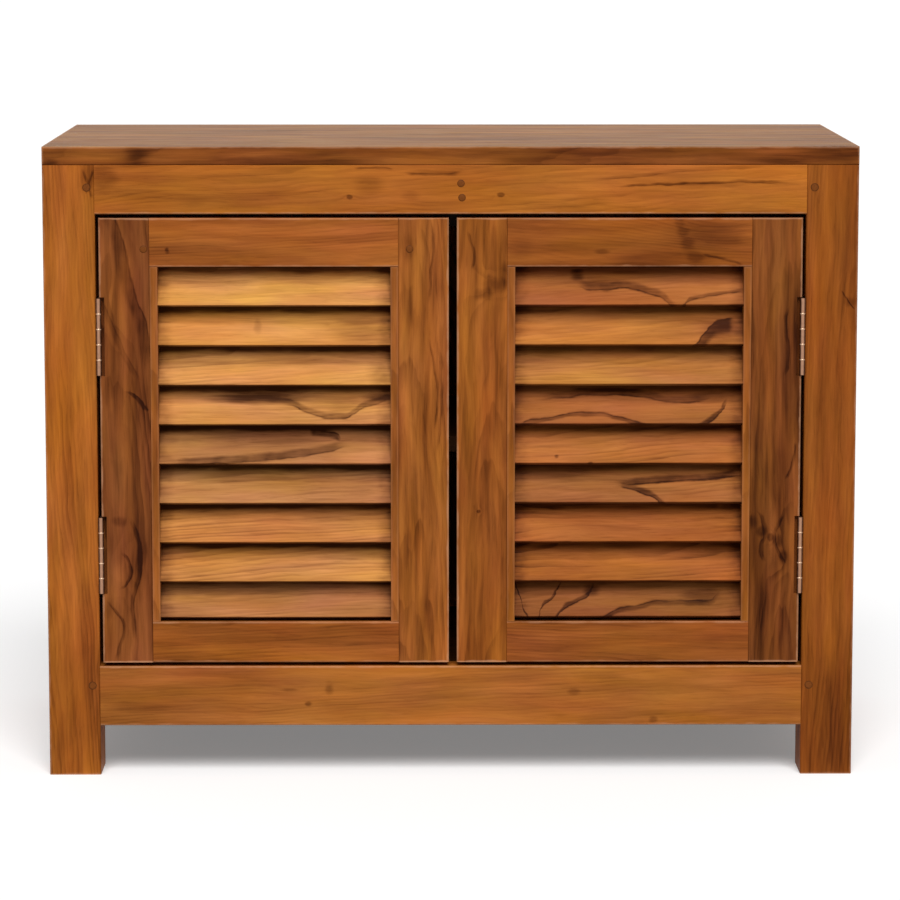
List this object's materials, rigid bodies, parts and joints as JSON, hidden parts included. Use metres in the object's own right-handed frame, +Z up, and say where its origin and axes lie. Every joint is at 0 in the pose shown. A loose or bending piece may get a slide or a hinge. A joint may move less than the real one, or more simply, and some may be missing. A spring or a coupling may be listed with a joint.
{
  "type": "cabinet",
  "caption": "Low freestanding wooden cabinet on short square legs, with side-hung louvred doors, a shelf inside and butt hinges.",
  "frame": {"origin": "on the floor under the middle of the cabinet", "axes": "+Z up, the doors face -Y, +X to the right as seen from the front"},
  "size_m": [0.8, 0.3734, 0.627],
  "materials": {
    "frame_wood": "satin oil and varnish over straight golden brown grain",
    "door_wood": "satin varnish over dark figured grain",
    "slat_wood": "satin varnish over light figured grain",
    "panel_wood": "satin varnish over plain straight grain",
    "peg_wood": "satin end grain",
    "hinge_metal": "antiqued, lightly polished on the knuckles"
  },
  "bodies": {
    "case": {"back_panel": "panel_wood", "bottom_panel": "panel_wood", "case_pegs": "peg_wood", "door_stop": "frame_wood", "front_bottom_rail": "frame_wood", "front_left_leg": "frame_wood", "front_right_leg": "frame_wood", "front_top_rail": "frame_wood", "hinge_pins": "hinge_metal", "left_case_hinge_leaves": "hinge_metal", "left_shelf_rail": "frame_wood", "left_side_bottom_rail": "frame_wood", "left_side_panel": "panel_wood", "left_side_top_rail": "frame_wood", "rear_bottom_rail": "frame_wood", "rear_left_leg": "frame_wood", "rear_right_leg": "frame_wood", "rear_top_rail": "frame_wood", "right_case_hinge_leaves": "hinge_metal", "right_shelf_rail": "frame_wood", "right_side_bottom_rail": "frame_wood", "right_side_panel": "panel_wood", "right_side_top_rail": "frame_wood", "shelf": "panel_wood", "top_panel": "frame_wood"},
    "left_door": {"left_door_bottom_rail": "door_wood", "left_door_hinge_leaves": "hinge_metal", "left_door_hinge_stile": "door_wood", "left_door_hinge_strip": "door_wood", "left_door_meeting_stile": "door_wood", "left_door_meeting_strip": "door_wood", "left_door_slat_1": "slat_wood", "left_door_slat_2": "slat_wood", "left_door_slat_3": "slat_wood", "left_door_slat_4": "slat_wood", "left_door_slat_5": "slat_wood", "left_door_slat_6": "slat_wood", "left_door_slat_7": "slat_wood", "left_door_slat_8": "slat_wood", "left_door_slat_9": "slat_wood", "left_door_top_rail": "door_wood"},
    "right_door": {"right_door_bottom_rail": "door_wood", "right_door_hinge_leaves": "hinge_metal", "right_door_hinge_stile": "door_wood", "right_door_hinge_strip": "door_wood", "right_door_meeting_stile": "door_wood", "right_door_meeting_strip": "door_wood", "right_door_slat_1": "slat_wood", "right_door_slat_2": "slat_wood", "right_door_slat_3": "slat_wood", "right_door_slat_4": "slat_wood", "right_door_slat_5": "slat_wood", "right_door_slat_6": "slat_wood", "right_door_slat_7": "slat_wood", "right_door_slat_8": "slat_wood", "right_door_slat_9": "slat_wood", "right_door_top_rail": "door_wood"}
  },
  "joints": [
    {"name": "left_door_hinge", "type": "hinge", "parent": "case", "child": "left_door", "pos_m": [-0.3461, -0.18425, 0.33], "axis": [0, 0, -1], "range_deg": [0, 170]},
    {"name": "right_door_hinge", "type": "hinge", "parent": "case", "child": "right_door", "pos_m": [0.3461, -0.18425, 0.33], "axis": [0, 0, 1], "range_deg": [0, 170]}
  ]
}
